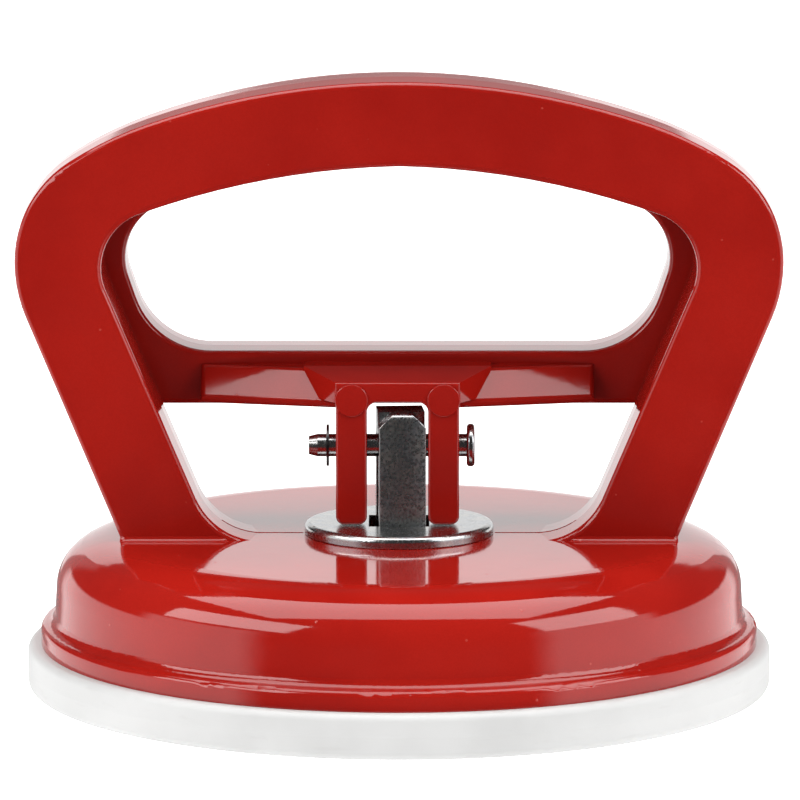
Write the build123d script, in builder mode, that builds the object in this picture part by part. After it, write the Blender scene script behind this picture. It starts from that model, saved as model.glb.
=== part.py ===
from build123d import *
import os
from math import cos, radians, sin, tan

# Single-cup vacuum lifter with a fixed arch handle and a cam lever behind it.
# Origin: centre of the cup's underside. +Z up, the handle spans X, the lever stands on the +Y side.
# The pieces stand as they do with the lever closed against the handle and the vacuum on.

# --- suction cup (rubber disc) ---
CUP_RADIUS = 59.0
CUP_RIM_HEIGHT = 7.0
CUP_EDGE_RADIUS = 1.2
CUP_FLAT_INNER = 50.0
CUP_HUB_RADIUS = 31.0
CUP_DOME_RADIUS = 29.0          # the underside is flat again inside this radius
CUP_STEP = (49.0, 6.4)          # top of the membrane where it meets the rim
CUP_STEP_OUTER = 51.4
LIFT = 2.6                      # how far the closed lever draws the centre up
CUP_OPEN_GAP = 0.3              # underside of the released centre above the surface
CUP_UNDER_Z = CUP_OPEN_GAP + LIFT
RUBBER_UNDER_PLATE = 3.2

# --- steel core plate bonded into the rubber ---
PLATE_RADIUS = 28.0
PLATE_THICKNESS = 2.5
PLATE_Z = CUP_UNDER_Z + RUBBER_UNDER_PLATE
PLATE_TOP_Z = PLATE_Z + PLATE_THICKNESS

# --- dished aluminium housing ---
HOUSING_TOP_Z = 24.1
HOUSING_INNER_TOP_Z = 19.6
FLANGE_RADIUS = 56.9
FLANGE_BOTTOM_Z = CUP_RIM_HEIGHT
FLANGE_TOP_Z = 10.2
FLANGE_CORNER = 1.0
WALL_FILLET = 1.6
WALL_FOOT_RADIUS = 54.75
WALL_TOP_RADIUS = 54.4
WALL_THICKNESS = 3.6
WALL_INNER_DROP = 5.0           # the inner wall ends this far below the inner top
CROWN_START_RADIUS = 43.0
CROWN_BEND = 17.0
CROWN_ANGLE = 26.0              # slope where the crown meets the tighter shoulder
SHOULDER_BEND = (WALL_TOP_RADIUS - CROWN_START_RADIUS - CROWN_BEND * sin(radians(CROWN_ANGLE))) / (
    1 - sin(radians(CROWN_ANGLE)))

# --- fixed arch handle, cast in one with the housing ---
HANDLE_DEPTH = 15.0
HANDLE_TOP_Z = 96.95
HANDLE_DRAFT = 1.2
HANDLE_EDGE = 0.9
LEG_LEAN = 22.6                 # degrees from upright
ARCH_ARCS = ((120.4, 19.2), (57.2, 13.5), (19.1, 57.3), (22.8, LEG_LEAN))   # radius, turn
GRIP_TOP_Z = 83.4
GRIP_TOP_BEND = 101.0
GRIP_CORNER = 9.0
GRIP_CORNER_X = 37.6            # centre of the corner's arc
GRIP_CORNER_Z = 67.4
GRIP_CORNER_TURN = 89.1         # from the leg round to the grip's top
GRIP_MIDDLE_X = 20.0            # point through which the grip's top arc passes
LEG_INNER_X = 29.1              # inner side of the leg where it would meet the dish's top
LEG_FOOT_BEND = 11.0
LEG_ROOT_Z = 21.6               # the legs run this deep into the dish

# --- wear washer ---
WASHER_RADIUS = 15.0
WASHER_THICKNESS = 1.9
WASHER_TOP_Z = HOUSING_TOP_Z + WASHER_THICKNESS
WASHER_TOP_EDGE = 0.9           # rolled over by the punch
WASHER_BOTTOM_EDGE = 0.2
SLOT_WIDTH = 9.6
SLOT_DEPTH = 10.2

# --- pivot pin ---
PIN_Z = 38.2
PIN_RADIUS = 1.8
PIN_LEFT_X = -14.3
PIN_TIP_RADIUS = 1.45
PIN_TIP_LENGTH = 1.4
HEAD_X = 10.7
HEAD_RADIUS = 3.4
HEAD_THICKNESS = 1.3
HEAD_EDGE = 0.55
HEAD_DISH_RADIUS = 2.3
HEAD_DISH_FLOOR = 1.5
HEAD_DISH_DEPTH = 0.4
CLIP_X = -11.3
CLIP_THICKNESS = 0.4
CLIP_RADIUS = 3.3
CLIP_MOUTH = 1.2
GROOVE_RADIUS = 1.45

# --- pull strap, folded over the pin ---
STRAP_X = 0.25
STRAP_TURN = 4.0                # degrees that the strap is turned in its slot, about Z
STRAP_WIDTH = 7.4
STRAP_DEPTH = 9.2
STRAP_THICKNESS = 2.5
STRAP_TOP_Z = 43.95
STRAP_NOSE_CHAMFER = 1.6
STRAP_FOOT_LENGTH = 9.0
STRAP_BEND = 1.0
STRAP_NOSE_GAP = 1.4            # the fold is this much thicker than the strap's sides
RIVET_Y = STRAP_DEPTH / 2 + STRAP_FOOT_LENGTH / 2
RIVET_RADIUS = 2.0
RIVET_HEAD_RADIUS = 3.4
RIVET_HEAD_HEIGHT = 1.4
RIVET_HEAD_EDGE = 0.9

# --- lever: loop, crossbar, wings and two cam ears, one casting ---
LEVER_X = -0.24                 # side play of the lever on its pin
LOOP_FRONT_Y = 8.0
LOOP_DEPTH = 12.0
LOOP_DRAFT = 1.2
LOOP_EDGE = 0.9
LOOP_INSET = 1.3                # loop outline inside the handle's outline
CROSSBAR_BOTTOM_Z = 43.4
CROSSBAR_TOP_Z = 52.1
LOOP_GRIP_TOP_Z = 82.73
LOOP_GRIP_LEAN = 19.0
LOOP_CORNER = 9.2
LOOP_CORNER_X = 34.0            # centre of the upper corner's arc
LOOP_CORNER_Z = 67.0
LOOP_CORNER_TURN = 87.1         # from the loop's side round to its top
LOOP_LOWER_BEND = 12.5
LOOP_HEEL_BEND = 6.0
FOOT_ROOM = 0.3                 # the fork's foot behind the ears starts above the crossbar's bottom
EAR_INNER_X = 4.84
EAR_WIDTH = 4.9
EAR_FRONT_Y = -4.6
EAR_BACK_Y = 4.2
HEEL_GAP = 0.15
EAR_BOTTOM_Z = WASHER_TOP_Z + HEEL_GAP
EAR_HEEL_Y = -1.8               # where the flat heel ends and the relief starts
EAR_HEEL_BACK_Z = 29.2
EAR_CORNER = 1.3
PIN_HOLE_PLAY = 0.06
FORK_TOP_Z = 48.9
FORK_BACK_Z = 50.4
FORK_WEB_Z = 45.7
FORK_GAP_CORNER = 1.6
FORK_SHOULDER_X = 14.9
FORK_SHOULDER_Y = 3.2
FORK_EDGE = 0.5
WING_END_X = 31.3
WING_END_LOW_Y = 3.0
WING_END_HIGH_Y = 7.4
WING_BOTTOM_Z = CROSSBAR_BOTTOM_Z + 0.9
WING_TOP_Z = FORK_BACK_Z - 0.4
WING_ROOT_X = 8.0
WING_ROOT_LOW_Y = -2.7
WING_ROOT_HIGH_Y = 1.7
WING_EDGE = 0.9
WELD = 1.5                      # how far the fork and wings reach into the crossbar
EAR_WELD = 1.0                  # how far the ears reach into the fork's web
EJECTOR_LENGTH = 6.0
EJECTOR_RADIUS = 2.6
EJECTOR_Z = 46.1
EJECTOR_RISE = 0.3
EJECTOR_EDGE = 0.2


def arc_chain(start, heading, arcs):
    """Tangent arcs that turn clockwise one after another; returns the last one."""
    arc = None
    for bend, turn in arcs:
        arc = JernArc(start=start, tangent=heading, radius=bend, arc_size=-turn)
        start = arc @ 1
        heading = arc % 1
    return arc


# ---------------------------------------------------------------- suction cup
with BuildPart() as suction_cup:
    with BuildSketch(Plane.XZ):
        with BuildLine():
            pocket = Polyline(
                (0, CUP_UNDER_Z),
                (0, PLATE_Z),
                (PLATE_RADIUS, PLATE_Z),
                (PLATE_RADIUS, PLATE_TOP_Z),
                (CUP_HUB_RADIUS, PLATE_TOP_Z),
            )
            upper = Spline(
                pocket @ 1,
                CUP_STEP,
                tangents=((1, 0), (1, 0)),
            )
            Polyline(
                upper @ 1,
                (CUP_STEP_OUTER, CUP_RIM_HEIGHT),
                (CUP_RADIUS, CUP_RIM_HEIGHT),
                (CUP_RADIUS, 0),
                (CUP_FLAT_INNER, 0),
            )
            Spline(
                (CUP_FLAT_INNER, 0),
                (CUP_DOME_RADIUS, CUP_UNDER_Z),
                tangents=((-1, 0), (-1, 0)),
            )
            Line((CUP_DOME_RADIUS, CUP_UNDER_Z), (0, CUP_UNDER_Z))
        make_face()
    revolve(axis=Axis.Z)
    outer_edges = suction_cup.edges().filter_by(GeomType.CIRCLE).filter_by(
        lambda edge: abs(edge.radius - CUP_RADIUS) < 0.01)
    fillet(outer_edges, radius=CUP_EDGE_RADIUS)
suction_cup.part.label = "suction_cup"

# ----------------------------------------------------------------- core plate
STRAP_PLACE = Location((STRAP_X, 0, 0), (0, 0, STRAP_TURN))
with BuildPart() as core_plate:
    with BuildSketch(Plane.XY.offset(PLATE_Z)):
        Circle(PLATE_RADIUS)
        with Locations(STRAP_PLACE):
            with Locations((0, RIVET_Y), (0, -RIVET_Y)):
                Circle(RIVET_RADIUS, mode=Mode.SUBTRACT)
    extrude(amount=PLATE_THICKNESS)
core_plate.part.label = "core_plate"

# ----------------------------------------------- arch handle, joined to the dish below
with BuildPart() as arch:
    with BuildSketch(Plane.XZ):
        with BuildLine():
            last = arc_chain((0, HANDLE_TOP_Z), (1, 0), ARCH_ARCS)
            leg_drop = (last @ 1).Y - LEG_ROOT_Z
            outer_leg = Line(last @ 1, last @ 1 - Vector(leg_drop * tan(radians(LEG_LEAN)), leg_drop))
            foot_run = LEG_FOOT_BEND * tan(radians((90 - LEG_LEAN) / 2))
            foot_x = LEG_INNER_X - foot_run
            floor = Polyline(outer_leg @ 1, (foot_x, LEG_ROOT_Z), (foot_x, HOUSING_TOP_Z))
            foot = JernArc(start=floor @ 1, tangent=(1, 0), radius=LEG_FOOT_BEND,
                           arc_size=90 - LEG_LEAN)
            grip_middle_z = GRIP_TOP_Z - GRIP_TOP_BEND + (GRIP_TOP_BEND**2 - GRIP_MIDDLE_X**2) ** 0.5
            Line(foot @ 1, (
                GRIP_CORNER_X + GRIP_CORNER * cos(radians(LEG_LEAN)),
                GRIP_CORNER_Z - GRIP_CORNER * sin(radians(LEG_LEAN))))
            corner = CenterArc((GRIP_CORNER_X, GRIP_CORNER_Z), GRIP_CORNER, -LEG_LEAN, GRIP_CORNER_TURN)
            top_arc = ThreePointArc(corner @ 1, (GRIP_MIDDLE_X, grip_middle_z), (0, GRIP_TOP_Z))
            Line(top_arc @ 1, (0, HANDLE_TOP_Z))
        make_face()
        mirror(about=Plane.YZ)
    extrude(amount=HANDLE_DEPTH / 2, both=True, taper=HANDLE_DRAFT)
    front_and_back = arch.faces().filter_by(Axis.Y)
    face_edges = front_and_back.edges().filter_by(
        lambda edge: edge.center().Z > LEG_ROOT_Z + 0.1 and abs(edge.center().X) > 0.01)
    fillet(face_edges, radius=HANDLE_EDGE)

# ------------------------------------------------- housing: dish and arch in one casting
with BuildPart() as housing:
    with BuildSketch(Plane.XZ):
        with BuildLine():
            top = Line((0, HOUSING_TOP_Z), (CROWN_START_RADIUS, HOUSING_TOP_Z))
            crown = arc_chain(top @ 1, (1, 0), ((CROWN_BEND, CROWN_ANGLE), (SHOULDER_BEND, 90 - CROWN_ANGLE)))
            wall = Line(crown @ 1, (WALL_FOOT_RADIUS, FLANGE_TOP_Z))
            shell = Polyline(
                wall @ 1,
                (FLANGE_RADIUS, FLANGE_TOP_Z),
                (FLANGE_RADIUS, FLANGE_BOTTOM_Z),
                (WALL_FOOT_RADIUS - WALL_THICKNESS, FLANGE_BOTTOM_Z),
                (WALL_TOP_RADIUS - WALL_THICKNESS, HOUSING_INNER_TOP_Z - WALL_INNER_DROP),
                (CROWN_START_RADIUS, HOUSING_INNER_TOP_Z),
                (0, HOUSING_INNER_TOP_Z),
                (0, HOUSING_TOP_Z),
            )
        make_face()
    revolve(axis=Axis.Z)
    rings = housing.edges().filter_by(GeomType.CIRCLE)
    flange_edge = rings.filter_by(
        lambda edge: abs(edge.radius - FLANGE_RADIUS) < 0.01 and edge.center().Z > FLANGE_TOP_Z - 0.1)
    fillet(flange_edge, radius=FLANGE_CORNER)
    wall_foot = housing.edges().filter_by(GeomType.CIRCLE).filter_by(
        lambda edge: abs(edge.radius - WALL_FOOT_RADIUS) < 0.01)
    fillet(wall_foot, radius=WALL_FILLET)
    add(arch.part)
    with BuildSketch(Plane.XY.offset(HOUSING_INNER_TOP_Z)):
        Rectangle(SLOT_WIDTH, SLOT_DEPTH)
    extrude(amount=HOUSING_TOP_Z - HOUSING_INNER_TOP_Z, mode=Mode.SUBTRACT)
housing.part.label = "housing"

# ---------------------------------------------------------------- wear washer
with BuildPart() as wear_washer:
    with BuildSketch(Plane.XY.offset(HOUSING_TOP_Z)):
        Circle(WASHER_RADIUS)
        Rectangle(SLOT_WIDTH, SLOT_DEPTH, mode=Mode.SUBTRACT)
    extrude(amount=WASHER_THICKNESS)
    top_edge = wear_washer.edges().filter_by(GeomType.CIRCLE).group_by(Axis.Z)[-1]
    fillet(top_edge, radius=WASHER_TOP_EDGE)
    bottom_edge = wear_washer.edges().filter_by(GeomType.CIRCLE).group_by(Axis.Z)[0]
    fillet(bottom_edge, radius=WASHER_BOTTOM_EDGE)
wear_washer.part.label = "wear_washer"

# ------------------------------------------------------------------- pull strap
strap_half = STRAP_DEPTH / 2
fold_inner_z = STRAP_TOP_Z - STRAP_THICKNESS - STRAP_NOSE_GAP
foot_top_z = PLATE_TOP_Z + STRAP_THICKNESS
with BuildPart() as straight_strap:
    with BuildSketch(Plane.YZ):
        with BuildLine():
            Polyline(
                (-strap_half, foot_top_z),
                (-strap_half, STRAP_TOP_Z),
                (strap_half, STRAP_TOP_Z),
                (strap_half, foot_top_z),
                (strap_half + STRAP_FOOT_LENGTH, foot_top_z),
                (strap_half + STRAP_FOOT_LENGTH, PLATE_TOP_Z),
                (strap_half - STRAP_THICKNESS, PLATE_TOP_Z),
                (strap_half - STRAP_THICKNESS, fold_inner_z),
                (-strap_half + STRAP_THICKNESS, fold_inner_z),
                (-strap_half + STRAP_THICKNESS, PLATE_TOP_Z),
                (-strap_half - STRAP_FOOT_LENGTH, PLATE_TOP_Z),
                (-strap_half - STRAP_FOOT_LENGTH, foot_top_z),
                close=True,
            )
        make_face()
    extrude(amount=STRAP_WIDTH / 2, both=True)
    fold_edges = straight_strap.edges().filter_by(Axis.X).group_by(Axis.Z)[-1]
    fillet(fold_edges, radius=STRAP_BEND)
    bend_edges = straight_strap.edges().filter_by(Axis.X).filter_by(
        lambda edge: abs(abs(edge.center().Y) - strap_half) < 0.01
        and abs(edge.center().Z - foot_top_z) < 0.01)
    fillet(bend_edges, radius=STRAP_BEND)
    with BuildSketch(Plane.XZ.offset(strap_half)):
        with Locations((-STRAP_WIDTH / 2, STRAP_TOP_Z), (STRAP_WIDTH / 2, STRAP_TOP_Z)):
            Rectangle(2 * STRAP_NOSE_CHAMFER, 2 * STRAP_NOSE_CHAMFER, rotation=45)
    extrude(amount=-STRAP_THICKNESS, mode=Mode.SUBTRACT)
    with BuildSketch(Plane.XY.offset(PLATE_TOP_Z)):
        with Locations((0, RIVET_Y), (0, -RIVET_Y)):
            Circle(RIVET_RADIUS)
    extrude(amount=STRAP_THICKNESS, mode=Mode.SUBTRACT)
with BuildPart() as pull_strap:
    with Locations(STRAP_PLACE):
        add(straight_strap.part)
pull_strap.part.label = "pull_strap"

# ------------------------------------------------------------------ strap rivets
with BuildPart() as strap_rivets:
    with BuildSketch(Plane.XY.offset(PLATE_Z)):
        with Locations(STRAP_PLACE):
            with Locations((0, RIVET_Y), (0, -RIVET_Y)):
                Circle(RIVET_RADIUS)
    extrude(amount=PLATE_THICKNESS + STRAP_THICKNESS)
    with BuildSketch(Plane.XY.offset(PLATE_TOP_Z + STRAP_THICKNESS)):
        with Locations(STRAP_PLACE):
            with Locations((0, RIVET_Y), (0, -RIVET_Y)):
                Circle(RIVET_HEAD_RADIUS)
    extrude(amount=RIVET_HEAD_HEIGHT)
    head_edges = strap_rivets.edges().filter_by(GeomType.CIRCLE).group_by(Axis.Z)[-1]
    fillet(head_edges, radius=RIVET_HEAD_EDGE)
strap_rivets.part.label = "strap_rivets"

# ------------------------------------------------------------------- pivot pin
with BuildPart() as pivot_pin:
    with BuildSketch(Plane.XZ) as pin_section:
        with BuildLine():
            Polyline(
                (PIN_LEFT_X, PIN_Z),
                (PIN_LEFT_X, PIN_Z + PIN_TIP_RADIUS),
                (PIN_LEFT_X + PIN_TIP_LENGTH, PIN_Z + PIN_RADIUS),
                (CLIP_X - CLIP_THICKNESS / 2, PIN_Z + PIN_RADIUS),
                (CLIP_X - CLIP_THICKNESS / 2, PIN_Z + GROOVE_RADIUS),
                (CLIP_X + CLIP_THICKNESS / 2, PIN_Z + GROOVE_RADIUS),
                (CLIP_X + CLIP_THICKNESS / 2, PIN_Z + PIN_RADIUS),
                (HEAD_X, PIN_Z + PIN_RADIUS),
                (HEAD_X, PIN_Z + HEAD_RADIUS),
                (HEAD_X + HEAD_THICKNESS, PIN_Z + HEAD_RADIUS),
                (HEAD_X + HEAD_THICKNESS, PIN_Z + HEAD_DISH_RADIUS),
                (HEAD_X + HEAD_THICKNESS - HEAD_DISH_DEPTH, PIN_Z + HEAD_DISH_FLOOR),
                (HEAD_X + HEAD_THICKNESS - HEAD_DISH_DEPTH, PIN_Z),
                close=True,
            )
        make_face()
    revolve(axis=Axis((0, 0, PIN_Z), (1, 0, 0)))
    head_rim = pivot_pin.edges().filter_by(GeomType.CIRCLE).filter_by(
        lambda edge: abs(edge.radius - HEAD_RADIUS) < 0.01)
    fillet(head_rim, radius=HEAD_EDGE)
pivot_pin.part.label = "pivot_pin"

# --------------------------------------------------------------- retaining clip
with BuildPart() as retaining_clip:
    with BuildSketch(Plane.YZ.offset(CLIP_X - CLIP_THICKNESS / 2)):
        with Locations((0, PIN_Z)):
            Circle(CLIP_RADIUS)
            Circle(GROOVE_RADIUS, mode=Mode.SUBTRACT)
        with Locations((0, PIN_Z - CLIP_RADIUS)):
            Rectangle(CLIP_MOUTH, 2 * (CLIP_RADIUS - GROOVE_RADIUS) + CLIP_MOUTH, mode=Mode.SUBTRACT)
    extrude(amount=CLIP_THICKNESS)
retaining_clip.part.label = "retaining_clip"

# ------------------------------------------------------ lever loop, joined to the fork below
LOOP_MIDDLE = Plane(origin=(LEVER_X, LOOP_FRONT_Y + LOOP_DEPTH / 2, 0), x_dir=(1, 0, 0), z_dir=(0, -1, 0))
with BuildPart() as lever_loop:
    with BuildSketch(LOOP_MIDDLE) as loop_outline:
        with BuildLine():
            loop_arcs = [(bend - LOOP_INSET, turn) for bend, turn in ARCH_ARCS]
            loop_last = arc_chain((0, HANDLE_TOP_Z - LOOP_INSET), (1, 0), loop_arcs)
            side_drop = (loop_last @ 1).Y - CROSSBAR_BOTTOM_Z
            side = Line(loop_last @ 1, loop_last @ 1 - Vector(side_drop * tan(radians(LEG_LEAN)), side_drop))
            Polyline(side @ 1, (0, CROSSBAR_BOTTOM_Z), (0, HANDLE_TOP_Z - LOOP_INSET))
        make_face()
        heel = loop_outline.vertices().filter_by(
            lambda corner: corner.X > 10 and abs(corner.Y - CROSSBAR_BOTTOM_Z) < 0.01)
        fillet(heel, radius=LOOP_HEEL_BEND)
        with BuildSketch(mode=Mode.SUBTRACT) as loop_grip:
            with BuildLine():
                upper_corner = CenterArc((LOOP_CORNER_X, LOOP_CORNER_Z), LOOP_CORNER, -LOOP_GRIP_LEAN,
                                         LOOP_CORNER_TURN)
                side_foot = upper_corner @ 0
                sill_x = side_foot.X - (side_foot.Y - CROSSBAR_TOP_Z) * tan(radians(LOOP_GRIP_LEAN))
                brow_middle_z = LOOP_GRIP_TOP_Z - GRIP_TOP_BEND + (GRIP_TOP_BEND**2 - GRIP_MIDDLE_X**2) ** 0.5
                Polyline((0, LOOP_GRIP_TOP_Z), (0, CROSSBAR_TOP_Z), (sill_x, CROSSBAR_TOP_Z), side_foot)
                ThreePointArc(upper_corner @ 1, (GRIP_MIDDLE_X, brow_middle_z), (0, LOOP_GRIP_TOP_Z))
            make_face()
            outer_corners = loop_grip.vertices().filter_by(lambda corner: corner.X > 10)
            fillet(outer_corners.sort_by(Axis.Y)[0], radius=LOOP_LOWER_BEND)
        mirror(about=Plane.YZ)
    extrude(amount=LOOP_DEPTH / 2, both=True, taper=LOOP_DRAFT)
    loop_faces = lever_loop.faces().filter_by(Axis.Y)
    fillet(loop_faces.edges().filter_by(lambda edge: abs(edge.center().X - LEVER_X) > 0.01), radius=LOOP_EDGE)

# ------------------------------------------------------------- lever fork with its two ears
ear_outer_x = EAR_INNER_X + EAR_WIDTH
with BuildPart() as fork:
    with BuildSketch(Plane.YZ.offset(LEVER_X)):
        with BuildLine():
            Polyline(
                (EAR_FRONT_Y, FORK_WEB_Z),
                (EAR_FRONT_Y, FORK_TOP_Z),
                (FORK_SHOULDER_Y, FORK_BACK_Z),
                (LOOP_FRONT_Y + WELD, FORK_BACK_Z),
                (LOOP_FRONT_Y + WELD, FORK_WEB_Z),
                close=True,
            )
        make_face()
    extrude(amount=FORK_SHOULDER_X, both=True)
    with BuildSketch(Plane(origin=(LEVER_X, 0, FORK_WEB_Z))):
        Polygon(
            (-ear_outer_x, EAR_FRONT_Y),
            (ear_outer_x, EAR_FRONT_Y),
            (FORK_SHOULDER_X, FORK_SHOULDER_Y),
            (FORK_SHOULDER_X, LOOP_FRONT_Y + WELD),
            (-FORK_SHOULDER_X, LOOP_FRONT_Y + WELD),
            (-FORK_SHOULDER_X, FORK_SHOULDER_Y),
            align=None,
        )
    extrude(amount=FORK_BACK_Z - FORK_WEB_Z, mode=Mode.INTERSECT)
    for ear_x in (LEVER_X - ear_outer_x, LEVER_X + EAR_INNER_X):
        with BuildSketch(Plane.YZ.offset(ear_x)):
            with BuildLine():
                Polyline(
                    (EAR_FRONT_Y, EAR_BOTTOM_Z),
                    (EAR_HEEL_Y, EAR_BOTTOM_Z),
                    (EAR_BACK_Y, EAR_HEEL_BACK_Z),
                    (EAR_BACK_Y, CROSSBAR_BOTTOM_Z + FOOT_ROOM),
                    (LOOP_FRONT_Y + WELD, CROSSBAR_BOTTOM_Z + FOOT_ROOM),
                    (LOOP_FRONT_Y + WELD, FORK_WEB_Z + EAR_WELD),
                    (EAR_FRONT_Y, FORK_WEB_Z + EAR_WELD),
                    close=True,
                )
            make_face()
        extrude(amount=EAR_WIDTH)
    heel_edges = fork.edges().filter_by(
        lambda edge: edge.center().Z < EAR_HEEL_BACK_Z and edge.length > 1.5
        and abs(edge.tangent_at(0.5).X) < 0.01)
    fillet(heel_edges, radius=EAR_CORNER)
    gap_corners = fork.edges().filter_by(Axis.Y).filter_by(
        lambda edge: abs(edge.center().Z - FORK_WEB_Z) < 0.01
        and abs(abs(edge.center().X - LEVER_X) - EAR_INNER_X) < 0.01)
    fillet(gap_corners, radius=FORK_GAP_CORNER)
    ear_front = fork.faces().filter_by(Axis.Y).sort_by(Axis.Y)[0]
    fillet(ear_front.edges().filter_by(lambda edge: edge.center().Z < FORK_WEB_Z + 0.1), radius=FORK_EDGE)
    web_front = fork.faces().filter_by(Axis.Y).sort_by(Axis.Y)[0]
    fillet(web_front.edges().filter_by(lambda edge: edge.center().Z > FORK_WEB_Z + 0.1), radius=FORK_EDGE)
    with BuildSketch(Plane.YZ.offset(LEVER_X)):
        with Locations((0, PIN_Z)):
            Circle(PIN_RADIUS + PIN_HOLE_PLAY)
    extrude(amount=ear_outer_x + 1.0, both=True, mode=Mode.SUBTRACT)
    with BuildSketch(Plane.XZ.offset(-EAR_FRONT_Y + EJECTOR_RISE)):
        with Locations((LEVER_X - ear_outer_x + EAR_WIDTH / 2, EJECTOR_Z),
                       (LEVER_X + ear_outer_x - EAR_WIDTH / 2, EJECTOR_Z)):
            Circle(EJECTOR_RADIUS)
    extrude(amount=-EJECTOR_LENGTH)
    mark_edges = fork.edges().filter_by(
        lambda edge: abs(edge.center().Y - EAR_FRONT_Y + EJECTOR_RISE) < 0.01)
    fillet(mark_edges, radius=EJECTOR_EDGE)

# ------------------------------------------------------------------ one wing of the lever
with BuildPart() as wing:
    with BuildSketch(Plane(origin=(LEVER_X, 0, WING_BOTTOM_Z))):
        Polygon(
            (WING_END_X, LOOP_FRONT_Y + WELD),
            (WING_ROOT_X, LOOP_FRONT_Y + WELD),
            (WING_ROOT_X, WING_ROOT_LOW_Y),
            (WING_END_X, WING_END_LOW_Y),
            align=None,
        )
    with BuildSketch(Plane(origin=(LEVER_X, 0, WING_TOP_Z))):
        Polygon(
            (WING_END_X, LOOP_FRONT_Y + WELD),
            (WING_ROOT_X, LOOP_FRONT_Y + WELD),
            (WING_ROOT_X, WING_ROOT_HIGH_Y),
            (WING_END_X, WING_END_HIGH_Y),
            align=None,
        )
    loft()
    outward = wing.faces().sort_by(Axis.Y)[0]
    fillet(outward.edges().filter_by(lambda edge: edge.center().X > WING_ROOT_X + 1), radius=WING_EDGE)

# ------------------------------------------------- lever: loop, fork and wings in one casting
with BuildPart() as lever:
    add(lever_loop.part)
    add(fork.part)
    add(wing.part)
    mirror(wing.part, about=Plane.YZ.offset(LEVER_X))
lever.part.label = "lever"

# ---------------------------------------------------------------------- export
os.makedirs("parts", exist_ok=True)
export_step(housing.part, "parts/housing.step")
export_step(wear_washer.part, "parts/wear_washer.step")
export_step(lever.part, "parts/lever.step")
export_step(pivot_pin.part, "parts/pivot_pin.step")
export_step(retaining_clip.part, "parts/retaining_clip.step")
export_step(pull_strap.part, "parts/pull_strap.step")
export_step(strap_rivets.part, "parts/strap_rivets.step")
export_step(core_plate.part, "parts/core_plate.step")
export_step(suction_cup.part, "parts/suction_cup.step")
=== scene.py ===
from math import cos, pi, radians, sin

import bmesh
import bpy
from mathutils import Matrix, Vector
from mathutils.bvhtree import BVHTree


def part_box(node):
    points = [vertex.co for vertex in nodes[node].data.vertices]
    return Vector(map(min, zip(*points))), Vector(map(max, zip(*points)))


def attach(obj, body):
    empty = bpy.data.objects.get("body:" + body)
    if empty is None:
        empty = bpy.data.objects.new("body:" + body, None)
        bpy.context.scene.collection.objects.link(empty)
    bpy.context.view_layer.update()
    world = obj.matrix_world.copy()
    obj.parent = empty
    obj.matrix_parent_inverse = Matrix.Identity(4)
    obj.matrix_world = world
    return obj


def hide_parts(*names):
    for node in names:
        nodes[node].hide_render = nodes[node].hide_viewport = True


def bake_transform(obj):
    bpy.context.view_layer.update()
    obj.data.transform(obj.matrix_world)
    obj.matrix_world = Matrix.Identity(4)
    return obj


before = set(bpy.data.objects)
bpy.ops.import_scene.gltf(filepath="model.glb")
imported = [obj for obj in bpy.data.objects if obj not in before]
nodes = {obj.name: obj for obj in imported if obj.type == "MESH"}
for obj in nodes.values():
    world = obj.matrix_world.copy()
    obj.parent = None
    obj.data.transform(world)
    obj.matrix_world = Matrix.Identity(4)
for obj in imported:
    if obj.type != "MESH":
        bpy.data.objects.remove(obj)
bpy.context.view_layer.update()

MM = 0.001

# rubber cup, in mm
RIM_EDGE = 1.2                  # radius of the rim's rounded edges
DOME_HEIGHT = 2.9
DOME_FLAT_RADIUS = 29.0
LAND_RADIUS = 50.0              # where the dome ends and the flat sealing land starts
LAND_TOP_DROP = 0.35
RIM_TOP_RADIUS = 51.4
MEMBRANE_RADIUS = 31.0          # where the membrane meets the plate's level
MOULD_LINE = ((3.40, 0.0), (3.46, 0.012), (3.54, 0.012), (3.60, 0.0))   # height, how far it stands out
RIB_RADII = (8.0, 18.0)         # low round ribs under the dome
RIB_SIZE = 0.35
CUP_SEGMENTS = 256

# small fillet where a leg's flat face meets the dish
CREASE_RADIUS = 0.9 * MM
CREASE_SUNK = 0.03 * MM         # how deep its hidden faces lie in the casting
CREASE_START = 25.5             # mm from the middle
CREASE_STEP = 0.35
CREASE_STEPS = 60
CREASE_ARC_STEPS = 6
LEG_PROBE_Y = 8.6 * MM          # just clear of the leg's face
LEG_FAR_Y = 0.020
LEG_LEAST_Y = 7.0 * MM          # nearer than this the leg's corner has turned away

# parting line across the dish
SEAM_GAP = 0.2 * MM             # from the washer's edge
SEAM_HALF = 0.13 * MM
SEAM_RISE = 0.07 * MM
SEAM_STEP = 0.3 * MM
SEAM_STEPS = 44
SEAM_PROBE_Z = 0.040
SEAM_TOP_Z = 0.034              # where it ends on the leg's foot

STRAP_BEVEL = 0.12

scene = bpy.context.scene


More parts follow.
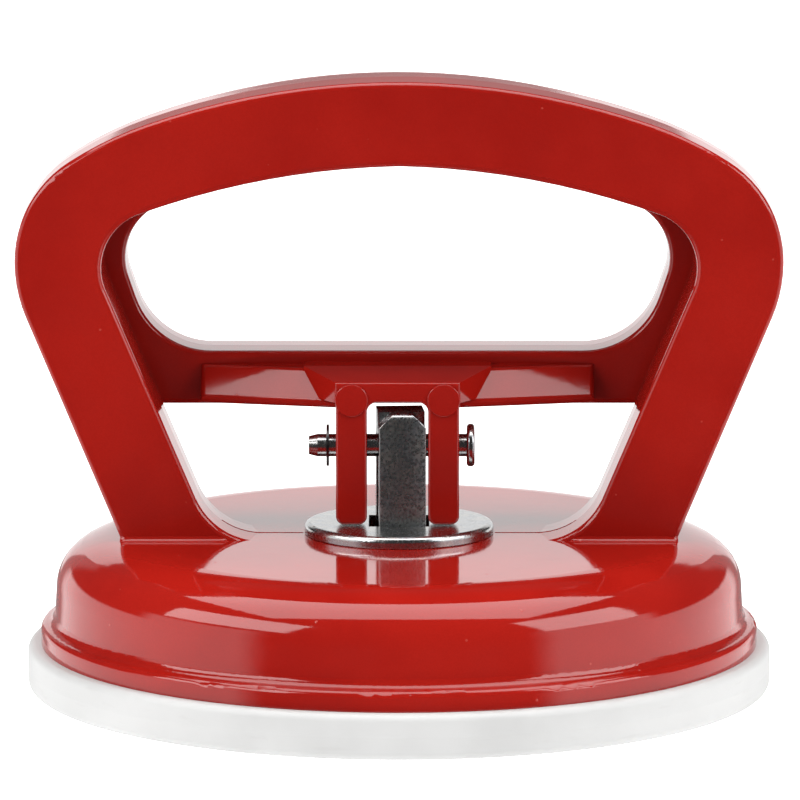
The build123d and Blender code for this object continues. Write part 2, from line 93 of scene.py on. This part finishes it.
# ------------------------------------------------------------------ shading helpers
class Shader:
    """A material whose nodes are added one after another."""

    def __init__(self, name):
        self.material = bpy.data.materials.new(name)
        self.material.use_nodes = True
        self.tree = self.material.node_tree
        self.surface = self.tree.nodes["Principled BSDF"]
        self.place = self.tree.nodes.new("ShaderNodeTexCoord").outputs["Object"]

    def node(self, kind, **settings):
        made = self.tree.nodes.new(kind)
        for name, value in settings.items():
            setattr(made, name, value)
        return made

    def feed(self, socket, value):
        if isinstance(value, bpy.types.NodeSocket):
            self.tree.links.new(value, socket)
        else:
            socket.default_value = value

    def stretched(self, factors):
        mapping = self.node("ShaderNodeMapping")
        self.feed(mapping.inputs["Vector"], self.place)
        mapping.inputs["Scale"].default_value = factors
        return mapping.outputs["Vector"]

    def noise(self, scale, detail=2.0, rough=0.5, place=None, distort=0.0):
        made = self.node("ShaderNodeTexNoise")
        self.feed(made.inputs["Vector"], place or self.place)
        made.inputs["Scale"].default_value = scale
        made.inputs["Detail"].default_value = detail
        made.inputs["Roughness"].default_value = rough
        made.inputs["Distortion"].default_value = distort
        return made.outputs["Fac"]

    def dots(self, scale, size, soft=0.5):
        """1 inside small scattered dots, 0 elsewhere."""
        made = self.node("ShaderNodeTexVoronoi")
        self.feed(made.inputs["Vector"], self.place)
        made.inputs["Scale"].default_value = scale
        made.inputs["Randomness"].default_value = 1.0
        return self.ramp(made.outputs["Distance"], size, size * soft, 0.0, 1.0)

    def ramp(self, value, low, high, out_low, out_high):
        made = self.node("ShaderNodeMapRange", interpolation_type="SMOOTHSTEP")
        if low > high:
            low, high, out_low, out_high = high, low, out_high, out_low
        self.feed(made.inputs["Value"], value)
        made.inputs["From Min"].default_value = low
        made.inputs["From Max"].default_value = high
        made.inputs["To Min"].default_value = out_low
        made.inputs["To Max"].default_value = out_high
        return made.outputs["Result"]

    def math(self, operation, first, second):
        made = self.node("ShaderNodeMath", operation=operation)
        self.feed(made.inputs[0], first)
        self.feed(made.inputs[1], second)
        return made.outputs[0]

    def mix(self, share, first, second):
        made = self.node("ShaderNodeMix", data_type="RGBA")
        self.feed(made.inputs["Factor"], share)
        self.feed(made.inputs["A"], first)
        self.feed(made.inputs["B"], second)
        return made.outputs["Result"]

    def bump(self, height, distance, strength=1.0, under=None):
        made = self.node("ShaderNodeBump")
        self.feed(made.inputs["Height"], height)
        made.inputs["Distance"].default_value = distance
        made.inputs["Strength"].default_value = strength
        if under is not None:
            self.feed(made.inputs["Normal"], under)
        return made.outputs["Normal"]

    def finish(self, **sockets):
        for name, value in sockets.items():
            self.feed(self.surface.inputs[name.replace("_", " ")], value)
        return self.material


def red_paint():
    """Glossy red powder coat: faint clouding, fine speckle, slight orange peel, dust nibs and pits."""
    shader = Shader("red_powder_coat")
    clouds = shader.noise(45.0, detail=3.0)
    speckle = shader.noise(4200.0, detail=1.0)
    pits = shader.dots(210.0, 0.055)
    deep = (0.285, 0.0075, 0.0045, 1.0)
    warm = (0.335, 0.0100, 0.0058, 1.0)
    colour = shader.mix(shader.ramp(clouds, 0.35, 0.65, 0.0, 1.0), deep, warm)
    colour = shader.mix(shader.ramp(speckle, 0.30, 0.70, 0.0, 0.22), colour, (0.21, 0.0050, 0.0030, 1.0))
    colour = shader.mix(shader.math("MULTIPLY", pits, 0.45), colour, (0.50, 0.08, 0.06, 1.0))
    peel = shader.noise(520.0, detail=1.0)
    fine = shader.noise(1900.0, detail=2.0)
    skin = shader.bump(peel, 0.000006)
    skin = shader.bump(fine, 0.0000015, under=skin)
    skin = shader.bump(pits, 0.00002, under=skin)
    gloss = shader.ramp(shader.noise(160.0, detail=4.0), 0.30, 0.75, 0.055, 0.10)
    return shader.finish(Base_Color=colour, Roughness=gloss, Normal=skin, IOR=1.5)


def zinc(name, brightness, scratch_axis, rough_low, rough_high):
    """Zinc-plated steel: mottled plating with fine scratches along one axis."""
    shader = Shader(name)
    blotch = shader.noise(420.0, detail=5.0, rough=0.65)
    grain = shader.noise(2600.0, detail=3.0, rough=0.7)
    scratches = shader.noise(1.0, detail=6.0, rough=0.75, place=shader.stretched(scratch_axis))
    cool = tuple(brightness * part for part in (0.60, 0.63, 0.66)) + (1.0,)
    warm = tuple(brightness * part for part in (0.74, 0.73, 0.70)) + (1.0,)
    colour = shader.mix(shader.ramp(blotch, 0.35, 0.68, 0.0, 1.0), cool, warm)
    wear = shader.ramp(scratches, 0.56, 0.70, 0.0, 1.0)
    colour = shader.mix(shader.math("MULTIPLY", wear, 0.35), colour, (0.90, 0.90, 0.89, 1.0))
    rough = shader.ramp(grain, 0.30, 0.72, rough_low, rough_high)
    relief = shader.bump(scratches, 0.0000018)
    relief = shader.bump(grain, 0.0000009, under=relief)
    return shader.finish(Base_Color=colour, Metallic=1.0, Roughness=rough, Normal=relief)


def spring_steel():
    """Dark oiled spring steel of the retaining ring."""
    shader = Shader("spring_steel_dark")
    film = shader.noise(900.0, detail=4.0)
    dark = (0.060, 0.060, 0.065, 1.0)
    light = (0.13, 0.12, 0.12, 1.0)
    colour = shader.mix(shader.ramp(film, 0.35, 0.7, 0.0, 1.0), dark, light)
    rough = shader.ramp(film, 0.3, 0.7, 0.28, 0.42)
    relief = shader.bump(film, 0.000004)
    return shader.finish(Base_Color=colour, Metallic=1.0, Roughness=rough, Normal=relief)


def plain_steel():
    """Rolled steel of the hidden plate and rivets."""
    shader = Shader("rolled_steel")
    lines = shader.noise(1.0, detail=5.0, place=shader.stretched((180.0, 3200.0, 180.0)))
    stain = shader.noise(90.0, detail=3.0)
    cool = (0.42, 0.42, 0.43, 1.0)
    warm = (0.52, 0.51, 0.49, 1.0)
    colour = shader.mix(shader.ramp(stain, 0.3, 0.7, 0.0, 1.0), cool, warm)
    rough = shader.ramp(lines, 0.3, 0.7, 0.30, 0.48)
    relief = shader.bump(lines, 0.000006)
    return shader.finish(Base_Color=colour, Metallic=1.0, Roughness=rough, Normal=relief)


def white_rubber():
    """White rubber with a satin moulded skin, slight clouding and handling marks."""
    shader = Shader("white_rubber")
    clouds = shader.noise(60.0, detail=4.0)
    marks = shader.noise(1.0, detail=4.0, place=shader.stretched((140.0, 140.0, 900.0)))
    dull = (0.50, 0.50, 0.495, 1.0)
    clean = (0.55, 0.55, 0.545, 1.0)
    handled = (0.44, 0.43, 0.42, 1.0)
    colour = shader.mix(shader.ramp(clouds, 0.3, 0.7, 0.0, 1.0), dull, clean)
    colour = shader.mix(shader.ramp(marks, 0.60, 0.74, 0.0, 0.25), colour, handled)
    grain = shader.noise(2300.0, detail=3.0)
    skin = shader.bump(grain, 0.000006)
    rough = shader.ramp(clouds, 0.3, 0.7, 0.42, 0.55)
    return shader.finish(Base_Color=colour, Roughness=rough, Normal=skin, IOR=1.5)


def dress(piece, material):
    """Puts one material into all of a piece's slots."""
    if not piece.material_slots:
        piece.data.materials.append(material)
    for place in piece.material_slots:
        place.material = material
    return piece


# ------------------------------------------------------------------ mesh helpers
def add_piece(name, mesh):
    piece = bpy.data.objects.new(name, mesh)
    scene.collection.objects.link(piece)
    return piece


def smooth(mesh, sharp_angle):
    """Smooth shading with edges sharper than the angle kept crisp."""
    for face in mesh.polygons:
        face.use_smooth = True
    mesh.set_sharp_from_angle(angle=radians(sharp_angle))


def lathe(name, profile, segments=192):
    """A closed solid: the profile of (radius, height) in mm turned about Z."""
    made = bmesh.new()
    rings = []
    for radius, height in profile:
        if radius < 1e-6:
            rings.append([made.verts.new((0, 0, height * MM))])
            continue
        rings.append([made.verts.new((radius * MM * cos(2 * pi * k / segments),
                                      radius * MM * sin(2 * pi * k / segments), height * MM))
                      for k in range(segments)])
    for lower, upper in zip(rings, rings[1:] + rings[:1]):
        if len(lower) == 1 and len(upper) == 1:
            continue
        for k in range(segments):
            n = (k + 1) % segments
            corners = [lower[k % len(lower)], lower[n % len(lower)]]
            corners += [upper[n % len(upper)], upper[k % len(upper)]]
            unique = list(dict.fromkeys(corners))
            made.faces.new(unique)
    bmesh.ops.recalc_face_normals(made, faces=made.faces)
    mesh = bpy.data.meshes.new(name)
    made.to_mesh(mesh)
    made.free()
    return mesh


def arc_points(centre, radius, start, end, steps):
    """Points (radius, height) on an arc, angles in degrees."""
    return [(centre[0] + radius * cos(radians(start + (end - start) * k / steps)),
             centre[1] + radius * sin(radians(start + (end - start) * k / steps))) for k in range(steps + 1)]


def ease_points(start, end, steps):
    """Points (radius, height) on a smooth S from start to end, level at both ends."""
    points = []
    for k in range(1, steps):
        t = k / steps
        lift = t * t * (3 - 2 * t)
        points.append((start[0] + (end[0] - start[0]) * t, start[1] + (end[1] - start[1]) * lift))
    return points


def refined(name, node, bevel):
    """A copy of a CAD node with its sharp edges broken by a small bevel, in mm."""
    made = bmesh.new()
    made.from_mesh(nodes[node].data)
    bmesh.ops.remove_doubles(made, verts=made.verts, dist=1e-6)
    bmesh.ops.dissolve_limit(made, angle_limit=radians(0.5), verts=made.verts, edges=made.edges)
    mesh = bpy.data.meshes.new(name)
    made.to_mesh(mesh)
    made.free()
    piece = add_piece(name, mesh)
    edge = piece.modifiers.new("edge", "BEVEL")
    edge.width = bevel * MM
    edge.segments = 2
    edge.limit_method = "ANGLE"
    edge.angle_limit = radians(35)
    depsgraph = bpy.context.evaluated_depsgraph_get()
    final = bpy.data.meshes.new_from_object(piece.evaluated_get(depsgraph))
    piece.modifiers.clear()
    piece.data = final
    smooth(final, 32)
    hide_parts(node)
    return piece


# ------------------------------------------------------------------ suction cup
def rim_profile(radius, rim):
    """Outline of the rim and its sealing land, as (radius, height) in mm."""
    points = [(LAND_RADIUS, 0.0)]
    points += arc_points((radius - RIM_EDGE, RIM_EDGE), RIM_EDGE, -90, 0, 8)
    points += [(radius + out, height) for height, out in MOULD_LINE]
    points += arc_points((radius - RIM_EDGE, rim - RIM_EDGE), RIM_EDGE, 0, 90, 8)
    points += [(RIM_TOP_RADIUS, rim), (LAND_RADIUS, rim - LAND_TOP_DROP)]
    return points


def dome_profile(rim):
    """Outline of the dome that the plate pulls, as (radius, height) in mm."""
    plate_low, plate_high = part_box("core_plate")
    plate_radius = plate_high.x / MM
    plate_bottom = plate_low.z / MM
    plate_top = plate_high.z / MM
    land_top = rim - LAND_TOP_DROP
    flat_end = (DOME_FLAT_RADIUS, DOME_HEIGHT)
    land_foot = (LAND_RADIUS, 0.0)
    points = [(0.0, DOME_HEIGHT)]
    for rib in RIB_RADII:
        points += arc_points((rib, DOME_HEIGHT), RIB_SIZE, 180, 0, 6)
    points += [flat_end] + ease_points(flat_end, land_foot, 18) + [land_foot]
    points += [(LAND_RADIUS, DOME_HEIGHT * k / 6) for k in range(1, 7)]
    points += [(LAND_RADIUS, land_top)]
    points += ease_points((LAND_RADIUS, land_top), (MEMBRANE_RADIUS, plate_top), 12)
    points += [(MEMBRANE_RADIUS, plate_top), (plate_radius, plate_top)]
    points += [(plate_radius, plate_bottom), (0.0, plate_bottom)]
    return points


def suction_cup():
    """The rubber disc in two parts: the rim, and the shallow dome that the plate pulls."""
    _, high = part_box("suction_cup")
    housing_low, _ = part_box("housing")
    rim = housing_low.z / MM
    profiles = (("suction_cup_rim", rim_profile(high.x / MM, rim)), ("suction_cup_dome", dome_profile(rim)))
    meshes = []
    for name, profile in profiles:
        mesh = lathe(name, profile, segments=CUP_SEGMENTS)
        smooth(mesh, 40)
        meshes.append(mesh)
    return meshes


cup_meshes = suction_cup()
rubber = white_rubber()
cup_rim = dress(add_piece("rubber_cup_rim", cup_meshes[0]), rubber)
cup_dome = dress(add_piece("rubber_cup_dome", cup_meshes[1]), rubber)
for piece in (cup_rim, cup_dome):
    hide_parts("suction_cup")
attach(cup_rim, "root")
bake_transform(cup_dome)


# ------------------------------------------------------------------ casting details of the housing
def housing_tree():
    """The housing's surface, to set small details on."""
    casting = nodes["housing"]
    corners = [casting.matrix_world @ vertex.co for vertex in casting.data.vertices]
    return BVHTree.FromPolygons(corners, [list(face.vertices) for face in casting.data.polygons])


def height_at(surface, x, y, start=0.030):
    """Height of the housing's surface under a point."""
    hit = surface.ray_cast(Vector((x, y, start)), Vector((0, 0, -1)))[0]
    return hit.z if hit else None


def strip(name, sections):
    """A closed solid through cross-sections that all have the same number of points."""
    made = bmesh.new()
    rings = [[made.verts.new(point) for point in section] for section in sections]
    count = len(rings[0])
    for near, far in zip(rings, rings[1:]):
        for k in range(count):
            n = (k + 1) % count
            made.faces.new((near[k], near[n], far[n], far[k]))
    made.faces.new(rings[0][::-1])
    made.faces.new(rings[-1])
    bmesh.ops.recalc_face_normals(made, faces=made.faces)
    mesh = bpy.data.meshes.new(name)
    made.to_mesh(mesh)
    made.free()
    smooth(mesh, 50)
    return mesh


def crease(surface, side, face):
    """The small casting fillet where a leg's flat face meets the dish: side is +-X, face is +-Y."""
    sections = []
    for step in range(CREASE_STEPS):
        x = side * (CREASE_START + step * CREASE_STEP) * MM
        top = height_at(surface, x, face * LEG_PROBE_Y)
        if top is None:
            continue
        inward = Vector((0, -face, 0))
        outside = Vector((x, face * LEG_FAR_Y, top + 1.1 * CREASE_RADIUS))
        hit = surface.ray_cast(outside, inward)[0]
        if hit is None or abs(hit.y) < LEG_LEAST_Y:
            continue
        flat = abs(hit.y)
        foot = height_at(surface, x, face * (flat + CREASE_RADIUS)) - CREASE_SUNK
        section = [Vector((x, face * (flat - CREASE_SUNK * 2), foot - CREASE_SUNK))]
        section.append(Vector((x, face * (flat + CREASE_RADIUS), foot)))
        for turn in range(1, CREASE_ARC_STEPS):
            angle = radians(90 * turn / CREASE_ARC_STEPS)
            reach = flat + CREASE_RADIUS * (1 - sin(angle))
            section.append(Vector((x, face * reach, foot + CREASE_RADIUS * (1 - cos(angle)))))
        section.append(Vector((x, face * (flat - CREASE_SUNK), foot + CREASE_RADIUS)))
        sections.append(section)
    return sections


def seam(surface, side):
    """The mould's parting line across the top of the dish, from the washer to a leg's foot."""
    _, washer_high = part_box("wear_washer")
    start = washer_high.x + SEAM_GAP
    sections = []
    for step in range(SEAM_STEPS):
        x = side * (start + step * SEAM_STEP)
        top = height_at(surface, x, 0.0, SEAM_PROBE_Z)
        if top is None or top > SEAM_TOP_Z:
            break
        low = top - SEAM_RISE
        crest = top + SEAM_RISE
        outline = ((-SEAM_HALF, low), (-SEAM_HALF * 0.5, crest), (SEAM_HALF * 0.5, crest), (SEAM_HALF, low))
        sections.append([Vector((x, y, z)) for y, z in outline])
    return sections


def casting_details():
    """Adds the parting line and the leg fillets, which ride the housing's body."""
    surface = housing_tree()
    for side, side_name in ((-1, "left"), (1, "right")):
        pieces = [("seam_" + side_name, seam(surface, side))]
        for face, face_name in ((-1, "front"), (1, "back")):
            pieces.append(("leg_crease_" + side_name + "_" + face_name, crease(surface, side, face)))
        for name, sections in pieces:
            piece = dress(add_piece(name, strip(name, sections)), paint)
            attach(piece, "root")


# ------------------------------------------------------------------ carried-over CAD nodes
paint = red_paint()
zinc_flat = zinc("zinc_plate_washer", 0.62, (160.0, 1500.0, 160.0), 0.16, 0.30)
zinc_strap = zinc("zinc_plate_strap", 0.62, (1700.0, 1700.0, 160.0), 0.20, 0.38)
dress(nodes["housing"], paint)
dress(nodes["lever"], paint)
dress(nodes["wear_washer"], zinc_flat)
dress(nodes["pivot_pin"], zinc_flat)
dress(nodes["retaining_clip"], spring_steel())
hidden_steel = plain_steel()
dress(nodes["core_plate"], hidden_steel)
dress(nodes["strap_rivets"], hidden_steel)
dress(nodes["pull_strap"], zinc_strap)
casting_details()

strap = dress(refined("folded_strap", "pull_strap", STRAP_BEVEL), zinc_strap)
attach(strap, "pull_assembly")


# ------------------------------------------------------------------ camera
def make_camera():
    data = bpy.data.cameras.new("camera")
    data.sensor_width = 36.0
    data.lens = 287.9
    data.shift_x = 0.0012
    data.clip_start = 0.05
    data.clip_end = 50.0
    camera = bpy.data.objects.new("camera", data)
    camera.location = (0.0, -1.0, 0.20914)
    camera.rotation_euler = (radians(90 - 9.297), 0.0, 0.0)
    scene.collection.objects.link(camera)
    scene.camera = camera


# ------------------------------------------------------------------ floor, world and lights
def make_floor():
    """A wide plain floor with a soft glow, weaker in front; reflections don't see it."""
    made = bmesh.new()
    bmesh.ops.create_grid(made, x_segments=4, y_segments=4, size=3.0)
    mesh = bpy.data.meshes.new("floor")
    made.to_mesh(mesh)
    made.free()
    floor = add_piece("floor", mesh)
    shader = Shader("pale_floor")
    split = shader.node("ShaderNodeSeparateXYZ")
    shader.feed(split.inputs[0], shader.place)
    near = shader.ramp(split.outputs[1], -0.32, -0.13, 0.26, 1.30)
    glow = shader.math("ADD", near, shader.ramp(split.outputs[1], 0.10, 0.50, 0.0, 0.30))
    shader.finish(Base_Color=(0.38, 0.38, 0.38, 1.0), Roughness=0.9, Specular_IOR_Level=0.0,
                  Emission_Color=(1.0, 1.0, 1.0, 1.0), Emission_Strength=glow)
    dress(floor, shader.material)
    floor.visible_glossy = False


def make_world():
    """A studio surround: a low bright wall at the sides, a dim one behind, and nearly dark elsewhere."""
    world = bpy.data.worlds.new("studio")
    world.use_nodes = True
    tree = world.node_tree
    tree.nodes.clear()
    add = tree.nodes.new
    link = tree.links.new
    place = add("ShaderNodeTexCoord").outputs["Generated"]
    split = add("ShaderNodeSeparateXYZ")
    link(place, split.inputs[0])

    def ramp(value, low, high, out_low, out_high):
        made = add("ShaderNodeMapRange")
        made.interpolation_type = "SMOOTHSTEP"
        if low > high:
            low, high, out_low, out_high = high, low, out_high, out_low
        link(value, made.inputs["Value"])
        made.inputs["From Min"].default_value = low
        made.inputs["From Max"].default_value = high
        made.inputs["To Min"].default_value = out_low
        made.inputs["To Max"].default_value = out_high
        return made.outputs["Result"]

    def math(operation, first, second):
        made = add("ShaderNodeMath")
        made.operation = operation
        for socket, value in zip(made.inputs, (first, second)):
            if isinstance(value, (int, float)):
                socket.default_value = value
            else:
                link(value, socket)
        return made.outputs[0]

    height = split.outputs[2]
    flat = math("SQRT", math("SUBTRACT", 1.0001, math("MULTIPLY", height, height)), 0.0)
    ahead = math("DIVIDE", split.outputs[1], flat)
    side_start = ramp(ahead, -0.74, -0.56, 0.0, 1.5)
    side_end = ramp(ahead, 0.95, 0.86, 0.0, 1.0)
    low_sides = math("MULTIPLY", math("MULTIPLY", side_start, side_end), ramp(height, 0.15, 0.10, 0.0, 1.0))
    front_sides = math("MULTIPLY", math("MULTIPLY", side_start, ramp(ahead, 0.15, 0.0, 0.0, 1.0)),
                       ramp(height, 0.34, 0.29, 0.0, 1.0))
    back = math("MULTIPLY", ramp(ahead, 0.86, 0.93, 0.0, 0.28), ramp(height, 0.41, 0.36, 0.0, 1.0))
    wall = math("MAXIMUM", math("MAXIMUM", low_sides, front_sides), back)
    strength = math("ADD", wall, 0.05)
    shine = add("ShaderNodeBackground")
    shine.inputs["Color"].default_value = (1.0, 1.0, 1.0, 1.0)
    link(strength, shine.inputs["Strength"])
    out = add("ShaderNodeOutputWorld")
    link(shine.outputs[0], out.inputs["Surface"])
    scene.world = world


def around(azimuth, elevation, distance):
    """A place round the object: azimuth from the front towards +X, elevation above the floor, in degrees."""
    a, e = radians(azimuth), radians(elevation)
    return (distance * sin(a) * cos(e), -distance * cos(a) * cos(e), distance * sin(e))


def add_softbox(name, place, aim, size, radiance):
    data = bpy.data.lights.new(name, "AREA")
    data.shape = "RECTANGLE"
    data.size, data.size_y = size
    data.energy = radiance * size[0] * size[1] * pi      # watts that give this radiance
    light = bpy.data.objects.new(name, data)
    light.location = place
    light.rotation_euler = (Vector(aim) - Vector(place)).to_track_quat("-Z", "Y").to_euler()
    scene.collection.objects.link(light)
    return light


make_camera()
make_floor()
make_world()
add_softbox("overhead_softbox", (0.0, 0.0, 0.77), (0.0, 0.0, 0.0), (1.07, 0.73), 3.8)
add_softbox("left_softbox", around(-62.0, 33.0, 1.0), (0.0, 0.0, 0.02), (0.84, 0.38), 5.3)
add_softbox("right_softbox", around(68.0, 32.0, 1.0), (0.0, 0.0, 0.02), (0.66, 0.46), 5.0)
# a low card close behind the object, for the far side of the dish; the camera doesn't see it
back_card = add_softbox("back_card", (0.0, 0.16, 0.052), (0.0, 0.0, 0.052), (0.20, 0.10), 0.85)
back_card.visible_camera = False
scene.view_settings.view_transform = "Standard"
scene.view_settings.look = "None"
